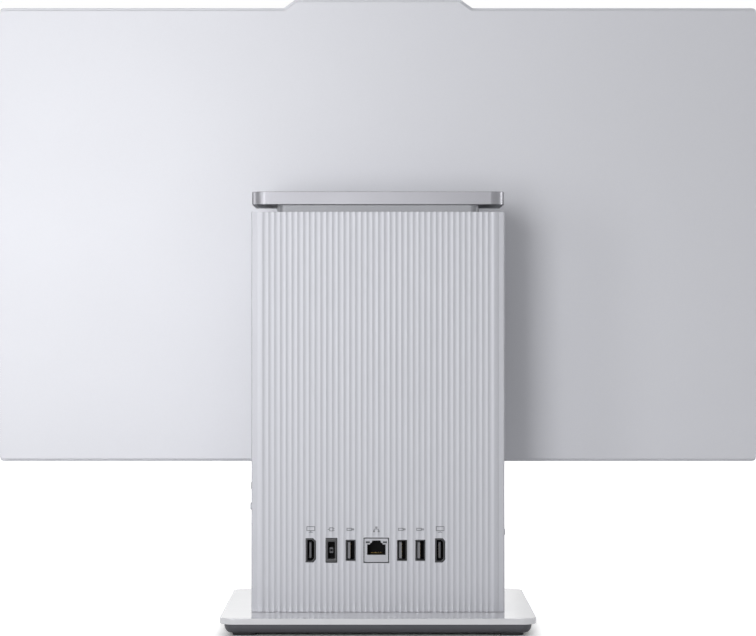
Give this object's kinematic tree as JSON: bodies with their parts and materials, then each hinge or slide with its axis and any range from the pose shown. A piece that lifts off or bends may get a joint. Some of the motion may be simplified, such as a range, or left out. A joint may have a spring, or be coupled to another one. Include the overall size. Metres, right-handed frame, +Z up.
{
  "type": "all-in-one computer",
  "caption": "Desktop all-in-one computer: thin tilting screen with a camera bump, held by an upright fluted column that houses the computer, on a flat rectangular base.",
  "frame": {"origin": "centre of the bounding box on the surface that the feet stand on", "axes": "+Z up, the screen faces -Y, the rear sockets face +Y, +X is to the right of a person in front of the screen"},
  "size_m": [0.5408, 0.19, 0.436],
  "materials": {
    "silver_shell": "fine satin silver paint on moulded plastic",
    "fluted_shell": "satin silver paint on fluted moulded plastic",
    "cap_metal": "bead-blasted and anodised",
    "base_metal": "smooth satin silver paint",
    "neck_shell": "satin grey paint",
    "dark_plastic": "fine grained",
    "black_plastic": "fine grained",
    "foot_rubber": "matt",
    "screen_surface": "anti-glare",
    "steel_sheet": "zinc plated",
    "socket_metal": "nickel plated",
    "socket_plastic": "moulded",
    "circuit_board": "solder mask",
    "copper_metal": "drawn copper",
    "fin_metal": "mill finish"
  },
  "bodies": {
    "stand": {"base_tray": "dark_plastic", "base_weight": "steel_sheet", "base_top_plate": "base_metal", "foot_front_left": "foot_rubber", "foot_front_right": "foot_rubber", "foot_rear_left": "foot_rubber", "foot_rear_right": "foot_rubber", "column_rear_shell": "fluted_shell", "column_front_shell": "silver_shell", "steel_frame": "steel_sheet", "top_grille": "dark_plastic", "neck": "neck_shell", "main_board": "circuit_board", "processor": "steel_sheet", "cold_plate": "copper_metal", "heat_pipe": "copper_metal", "fin_stack": "fin_metal", "blower_housing": "black_plastic", "memory_module_left": "circuit_board", "memory_module_right": "circuit_board", "solid_state_drive": "black_plastic", "wireless_card": "socket_metal", "coin_cell": "socket_metal", "video_socket_right": "socket_plastic", "power_inlet": "socket_plastic", "usb_socket_right": "socket_plastic", "network_socket": "socket_metal", "usb_socket_middle": "socket_plastic", "usb_socket_left": "socket_plastic", "video_socket_left": "socket_plastic", "side_usb_a_socket": "socket_plastic", "side_usb_c_socket": "socket_metal", "audio_jack": "socket_plastic", "power_switch": "black_plastic", "source_switch": "black_plastic", "lock_slot_insert": "steel_sheet", "cap_plate": "cap_metal", "cap_underside_cover": "dark_plastic", "stand_arm": "steel_sheet", "hinge_ear_right": "steel_sheet", "hinge_ear_left": "steel_sheet", "hinge_cover": "silver_shell"},
    "screen": {"front_frame": "silver_shell", "back_cover": "silver_shell", "lcd_cell": "screen_surface", "backlight_unit": "fin_metal", "display_chassis": "steel_sheet", "display_driver_board": "circuit_board", "speaker_left": "black_plastic", "speaker_right": "black_plastic", "camera_module": "black_plastic", "hinge_bracket": "steel_sheet", "tilt_shaft_right": "steel_sheet", "tilt_shaft_left": "steel_sheet", "friction_washers_right": "steel_sheet", "friction_washers_left": "steel_sheet"},
    "shutter": {"camera_shutter": "black_plastic"},
    "fan": {"fan_rotor": "black_plastic"},
    "power_key": {"power_button": "silver_shell"},
    "source_key": {"source_button": "silver_shell"}
  },
  "joints": [
    {"name": "screen_tilt", "type": "hinge", "parent": "stand", "child": "screen", "pos_m": [0, -0.047, 0.272], "axis": [-1, 0, 0], "range_deg": [-5, 15]},
    {"name": "shutter_slide", "type": "slide", "parent": "screen", "child": "shutter", "axis": [-1, 0, 0], "range_m": [0, 0.011]},
    {"name": "fan_spin", "type": "hinge", "parent": "stand", "child": "fan", "pos_m": [0, 0.0307, 0.1934], "axis": [0, 1, 0], "continuous": true},
    {"name": "power_press", "type": "slide", "parent": "stand", "child": "power_key", "axis": [-1, 0, 0], "range_m": [0, 0.0006], "stiffness_N_per_m": 1500},
    {"name": "source_press", "type": "slide", "parent": "stand", "child": "source_key", "axis": [1, 0, 0], "range_m": [0, 0.0005], "stiffness_N_per_m": 1500}
  ]
}
